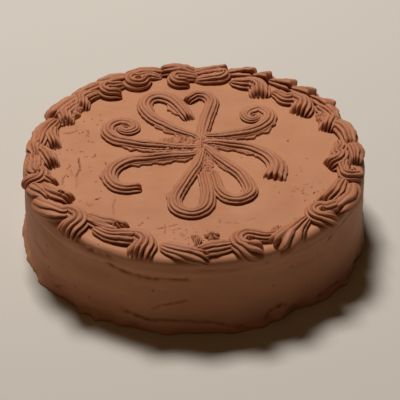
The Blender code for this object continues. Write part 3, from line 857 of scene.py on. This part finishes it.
def pits_in_side(rng):
    """Small pits spread over the side."""
    marks = []
    for _ in range(SIDE_PITS):
        point = side_point(rng.uniform(0, 360), rng.uniform(*SIDE_PIT_HEIGHTS))
        # Each pit gets painted shade.
        marks.append((point, rng.uniform(*PIT_SIZE), rng.uniform(*PIT_DEPTH), SIDE_PIT_SHADE))
    return marks


def marks_in_icing():
    """Every mark in the icing: point, radius, depth and painted shade."""
    rng = np.random.default_rng(SEEDS["marks"])
    marks = tears_in_top(rng)
    # The listed pits get the fullest painted shade.
    marks += [(on_cake(x, y, 0.0), PIT_SIZE[1], PIT_DEPTH[1], 1.0) for x, y in PITS]
    marks += cracks_in_top(rng)
    marks += lines_in_side(rng)
    # The listed side pits get the fullest painted shade.
    marks += [(side_point(*place), PIT_SIZE[1], PIT_DEPTH[1], 1.0) for place in SIDE_PIT_PLACES]
    return marks + pits_in_side(rng)


def icing_rings():
    """Radius, height and outward slope of each ring, from the middle down."""
    rings = []
    for start, end, count in TOP_RINGS:
        rings += [(r, CAKE_HEIGHT, 0.0) for r in np.linspace(start, end, count, endpoint=False)]
    for k in range(RIM_RINGS + 1):
        turn = math.pi / 2 * k / RIM_RINGS
        rings.append((TOP_RADIUS - RIM_ROUND + RIM_ROUND * math.sin(turn),
                      CAKE_HEIGHT - RIM_ROUND + RIM_ROUND * math.cos(turn), turn))
    for k in range(1, SIDE_RINGS + 1):
        rings.append((TOP_RADIUS, (CAKE_HEIGHT - RIM_ROUND) * (1 - k / SIDE_RINGS), math.pi / 2))
    return np.array(rings)


def spatula_push(rows, height, on_side):
    """How far the spatula left each point out or in, and the rough foot."""
    strength, stretch, size = TOP_GRAIN
    push = swell(rows[..., 0], rows[..., 1])
    push = push + strength * waves(rows / stretch, size, SEEDS["top"]) * (1 - on_side)
    strength, squeeze, size, layers = SIDE_GRAIN
    push = push + strength * layered_waves(rows * squeeze, size, SEEDS["side"], layers) * on_side
    strength, squeeze, size, layers = FOOT_GRAIN
    low = np.clip((FOOT_ZONE - height) / FOOT_ZONE, 0, 1) ** FOOT_ZONE_FALL * on_side
    return push + low * strength * layered_waves(rows * squeeze, size, SEEDS["foot"], layers)


def crease_push(angle, height):
    """How far the icing below each line in the side stands out."""
    degrees = np.degrees(angle) % 360
    push = 0.0
    for _, below, points in SIDE_LINES:
        places = np.array(points, float)
        away = np.interp(degrees, places[:, 0], places[:, 1]) - height
        inside = window(degrees, places[0, 0], places[-1, 0], CREASE_FADE)
        push = push + below * inside * (away > 0) * np.exp(-away / BELOW_REACH)
    return push


def lump_push(rows):
    """The lumps and notches at the foot."""
    push = 0.0
    for angle, height, size, bulge in LUMPS:
        away = ((rows - np.array(side_point(angle, height))) ** 2).sum(axis=-1)
        push = push + bulge * np.exp(-away / size ** 2)
    return push


def icing_coat():
    """The iced cake, smoothed with a spatula, with its pits and tears."""
    rings = icing_rings()
    angle = np.linspace(0, 2 * math.pi, COLUMNS, endpoint=False)[None, :]
    nominal, height, slope = (rings[:, k:k + 1] for k in range(3))
    radius = nominal * side_radius(angle, CAKE_HEIGHT - height) / TOP_RADIUS
    on_side = np.sin(slope)
    rows = np.stack(np.broadcast_arrays(radius * np.cos(angle), radius * np.sin(angle),
                                        height), axis=-1)
    out = np.stack(np.broadcast_arrays(on_side * np.cos(angle), on_side * np.sin(angle),
                                       np.cos(slope)), axis=-1)
    push = (spatula_push(rows, height, on_side) + crease_push(angle, height) * on_side
            + lump_push(rows))
    rows = rows + out * push[..., None]
    rows[-1, :, 2] = 0
    under = [rows[-1] * (share, share, 1) for share in BASE_RINGS]
    rows = np.concatenate([rows, np.array(under)])
    coat = grid_mesh("icing_coat", rows, np.zeros(rows.shape[:2]), (0, 0, CAKE_HEIGHT),
                     (0, 0, 0))
    carve(coat, marks_in_icing())
    return coat


def cut_near_marks(work, tree, marks):
    """Cuts the faces near the marks into finer ones, away from the base."""
    near = set()
    for v in work.verts:
        _, number, away = tree.find(v.co)
        if v.co.z > MM and away < MARK_REACH * marks[number][1] * MM:
            near.add(v)
    edges = [e for e in work.edges if e.verts[0] in near or e.verts[1] in near]
    bmesh.ops.subdivide_edges(work, edges=edges, cuts=REFINE_CUTS, use_grid_fill=True)
    work.normal_update()


def pressed(point, tree, marks):
    """How deep the marks near a point make it, and how much painted shade they give it."""
    deepest, darkest = 0.0, 0.0
    for _, number, away in tree.find_n(point, MARKS_FELT):
        _, size, depth, dark = marks[number]
        close = math.exp(-(away / MM / size) ** 2)
        deepest = max(deepest, depth * close)
        darkest = max(darkest, dark * close)
    return deepest, min(darkest, 1.0)


def carve(obj, marks):
    """Cuts the faces near each mark finer, then presses the marks in and paints shade into them.
    """
    tree = KDTree(len(marks))
    for number, (point, *_) in enumerate(marks):
        tree.insert(Vector(point) * MM, number)
    tree.balance()
    work = bmesh.new()
    work.from_mesh(obj.data)
    cut_near_marks(work, tree, marks)
    layer = work.verts.layers.float[SHADE_MARK]
    above = [v for v in work.verts if v.co.z >= MM]
    for v, (deep, dark) in [(v, pressed(v.co, tree, marks)) for v in above]:
        if deep > SHALLOWEST:
            v.co += v.normal * -deep * MM
            # The painted shade of the marks.
            v[layer] = dark
    work.to_mesh(obj.data)
    work.free()
    obj.data.shade_smooth()


def curl(middle, radius, start, end, run):
    """Bends round the middle of a curl, and where it runs straight on."""
    steps = max(round(abs(end - start) / CURL_STEP), 2)
    angles = np.radians(np.linspace(start, end, steps + 1))
    bends = tuple((middle[0] + radius * math.cos(a), middle[1] + radius * math.sin(a))
                  for a in angles)
    if not run:
        return bends
    way = math.copysign(run, end - start)
    last = angles[-1]
    return (*bends, (bends[-1][0] - way * math.sin(last), bends[-1][1] + way * math.cos(last)))


def scaled(line, size):
    """Places, and the sizes that the parts of a line give there."""
    places, parts = line
    return places, [size * part for part in parts]


def piece_seed(kind, number):
    """The seed of one piece of this kind, far from those of the next."""
    first, step = PIECE_SEEDS[kind]
    return first + step * number


def border(material):
    """Every shell of the border, each in place of its own node."""
    shells = [(f"border_{side}_{place:02d}", shell) for side, row in BORDER.items()
              for place, shell in enumerate(row, 1)]
    for number, (node, (bends, widths, height)) in enumerate(shells):
        if node in CURLS:
            bends = bends + curl(*CURLS[node])
        line, style = SHELL_HEIGHT_LINE, STYLES.get(node, SHELL)
        if node in RISING:
            line, style = RISING_HEIGHT_LINE, STUBBY
        if max(widths) < NARROW_SHELL:
            style = {**style, "ridges": NARROW_RIDGES}
        shell = piped("piped_" + node, bends, (WIDTH_PLACES, widths),
                      scaled(line, SHELL_LOWER * height), style, piece_seed("shell", number))
        place_piece(shell, material, node)


def dabs(material):
    """What lies between the shells and under the hub."""
    for number, (name, (bends, widths, height)) in enumerate(DABS.items()):
        dab = piped(name, bends, (WIDTH_PLACES, widths), scaled(SHELL_HEIGHT_LINE, height),
                    SHELL, piece_seed("dab", number))
        place_piece(dab, material)
    for name, (place, radius, height, points, twist) in STARS.items():
        star = mound(name, place, (radius, radius), 0, height, STAR_ROUGH, points, twist)
        place_piece(star, material)
    for number, (name, (place, radii, turn, height, rough)) in enumerate(SMEARS.items()):
        smear = mound(name, place, radii, turn, height, rough, seed=piece_seed("smear", number))
        place_piece(smear, material)


def ornament(material):
    """The hub and the strokes on the top, each in place of its own node."""
    share = np.linspace(0, 1, len(HUB_WIDTHS))
    tall = [min(width * HUB_STEEPNESS, STROKE_HEIGHT) for width in HUB_WIDTHS]
    hub = piped("piped_hub", HUB_BENDS, (share, HUB_WIDTHS), (share, tall), HUB,
                piece_seed("hub", 0))
    place_piece(hub, material, "ornament_hub")
    for number, (node, (bends, widths)) in enumerate(STROKES.items()):
        line = SCROLL_HEIGHT_LINE if "scroll" in node else STROKE_HEIGHT_LINE
        lead = tuple(a + TAIL_LEAD * (b - a) for a, b in zip(bends[0], HUB_MIDDLE))
        stroke = piped("piped_" + node, (lead, *bends), (STROKE_WIDTH_PLACES, widths),
                       scaled(line, STROKE_HEIGHT), STYLES.get(node, STROKE),
                       piece_seed("stroke", number), FLANGES.get(node, ()))
        place_piece(stroke, material, node)


def crumbs(material):
    """Crumbs of sponge and dried icing lying on the top, as one mesh."""
    rng = np.random.default_rng(SEEDS["crumbs"])
    work = bmesh.new()
    for x, y, spread_x, spread_y, count in CRUMB_CLUSTERS:
        for _ in range(count):
            at = rng.normal((x, y), (spread_x, spread_y))
            size = rng.uniform(*CRUMB_SIZE)
            made = bmesh.ops.create_icosphere(work, subdivisions=CRUMB_FACETS, radius=size * MM)
            place = Vector(on_cake(at[0], at[1], CRUMB_LIFT * size)) * MM
            stretch = rng.uniform(*CRUMB_STRETCH, 3)
            for point in made["verts"]:
                lump = float(waves(np.array(point.co) / MM, size, count * CRUMB_SEED))
                uneven = 1 + CRUMB_BUMP * lump
                point.co = Vector(c * s * uneven for c, s in zip(point.co, stretch)) + place
    mesh = bpy.data.meshes.new("crumbs")
    work.to_mesh(mesh)
    work.free()
    place_piece(add_object("crumbs", mesh), material)


def new_material(name, values):
    """A material, its tree of nodes and its shader, with these values set."""
    made = bpy.data.materials.new(name)
    made.use_nodes = True
    shader = made.node_tree.nodes["Principled BSDF"]
    for socket, value in values.items():
        shader.inputs[socket].default_value = value
    return made, made.node_tree, shader


def add_node(tree, kind, values):
    """A node of this kind, with these values set."""
    node = tree.nodes.new(kind)
    for socket, value in values.items():
        node.inputs[socket].default_value = value
    return node


def noise(tree, scale, detail, roughness):
    """A noise texture over the object's own coordinates."""
    place = tree.nodes.new("ShaderNodeTexCoord")
    texture = add_node(tree, "ShaderNodeTexNoise",
                       {"Scale": scale, "Detail": detail, "Roughness": roughness})
    tree.links.new(place.outputs["Object"], texture.inputs["Vector"])
    return texture.outputs["Fac"]


def mixed(tree, share, first, second):
    """A colour between two, each a colour or the output of a node."""
    mix = tree.nodes.new("ShaderNodeMix")
    mix.data_type = "RGBA"
    tree.links.new(share, mix.inputs["Factor"])
    for socket, colour in ((mix.inputs["A"], first), (mix.inputs["B"], second)):
        if isinstance(colour, tuple):
            socket.default_value = (*colour, 1)
        else:
            tree.links.new(colour, socket)
    return mix.outputs["Result"]


def remap(tree, value, low, high, start, end):
    """Stretches a value from one range to another."""
    node = add_node(tree, "ShaderNodeMapRange",
                    {"From Min": low, "From Max": high, "To Min": start, "To Max": end})
    tree.links.new(value, node.inputs["Value"])
    return node.outputs["Result"]


def bump(tree, height, strength, distance):
    """A bump as high as this output says, up to this distance."""
    node = add_node(tree, "ShaderNodeBump", {"Strength": strength, "Distance": distance})
    tree.links.new(height, node.inputs["Height"])
    return node


def buttercream(name, light, dark, scale, gloss):
    """Soft, slightly glossy icing: uneven colour, fine grain, and painted shade in the grooves
    and marks.
    """
    made, tree, shader = new_material(name, {**SOFT_ICING, "Specular IOR Level": gloss})
    patches = remap(tree, noise(tree, *PATCH_NOISE), *PATCH_RANGE)
    mark = tree.nodes.new("ShaderNodeAttribute")
    mark.attribute_name = SHADE_MARK
    depth = remap(tree, mark.outputs["Fac"], *SHADE_RANGE)
    # The painted shade attribute darkens the colour in grooves and marks.
    colour = mixed(tree, depth, mixed(tree, patches, light, dark), GROOVE_SHADE_COLOUR)
    tree.links.new(colour, shader.inputs["Base Color"])
    shine = remap(tree, noise(tree, *SHINE_NOISE), *SHINE_RANGE)
    tree.links.new(shine, shader.inputs["Roughness"])
    fine = bump(tree, noise(tree, scale, *FINE_NOISE), *FINE_BUMP)
    soft = bump(tree, noise(tree, scale / SOFT_LARGER, *SOFT_NOISE), *SOFT_BUMP)
    tree.links.new(fine.outputs["Normal"], soft.inputs["Normal"])
    tree.links.new(soft.outputs["Normal"], shader.inputs["Normal"])
    return made


def floor():
    """A plain pale floor under the cake."""
    bpy.ops.mesh.primitive_plane_add(size=FLOOR_SIZE)
    obj = bpy.context.object
    obj.name = "floor"
    made, *_ = new_material("floor", {"Base Color": (*FLOOR_COLOUR, 1),
                                      "Roughness": FLOOR_ROUGHNESS})
    obj.data.materials.append(made)


def area_light(name, place, size, energy, colour):
    """A soft light aimed at the middle of the cake."""
    data = bpy.data.lights.new(name, "AREA")
    data.size = size
    data.energy = energy
    data.color = colour
    obj = bpy.data.objects.new(name, data)
    obj.location = place
    aim = Vector((0, 0, CAKE_HEIGHT * MM / 2)) - Vector(place)
    obj.rotation_euler = aim.to_track_quat("-Z", "Y").to_euler()
    bpy.context.scene.collection.objects.link(obj)


def light_studio():
    """One soft key from above and behind, a weak fill and a weakly lit room."""
    for name, light in LIGHTS.items():
        area_light(name, *light)
    world = bpy.context.scene.world or bpy.data.worlds.new("room")
    bpy.context.scene.world = world
    world.use_nodes = True
    back = world.node_tree.nodes["Background"]
    back.inputs["Color"].default_value = (*ROOM_COLOUR, 1)
    back.inputs["Strength"].default_value = ROOM_STRENGTH
    bpy.context.scene.view_settings.view_transform = "Standard"


def photo_camera():
    """The photograph's view: its angle, distance and framing."""
    data = bpy.data.cameras.new("camera")
    data.sensor_width = SENSOR_WIDTH
    data.lens = SENSOR_WIDTH * FOCAL_PIXELS / PHOTO_PIXELS
    tilt = math.radians(CAMERA_ELEVATION)
    step = CAMERA_DISTANCE / FOCAL_PIXELS
    right = (PHOTO_PIXELS / 2 - TOP_CENTRE_PIXEL[0]) * step
    up = (TOP_CENTRE_PIXEL[1] - PHOTO_PIXELS / 2) * step
    obj = bpy.data.objects.new("camera", data)
    obj.location = (right,
                    -CAMERA_DISTANCE * math.cos(tilt) + up * math.sin(tilt),
                    CAKE_HEIGHT * MM + CAMERA_DISTANCE * math.sin(tilt) + up * math.cos(tilt))
    obj.rotation_euler = (math.pi / 2 - tilt, 0, 0)
    bpy.context.scene.collection.objects.link(obj)
    bpy.context.scene.camera = obj


def main():
    photo_camera()
    floor()
    light_studio()
    icing = buttercream("icing", ICING_LIGHT, ICING_DARK, *ICING_FINISH)
    piping = buttercream("piping", PIPING_LIGHT, PIPING_DARK, *PIPING_FINISH)
    place_piece(icing_coat(), icing, "cake_body")
    ornament(piping)
    border(piping)
    dabs(piping)
    crumbs(icing)


main()
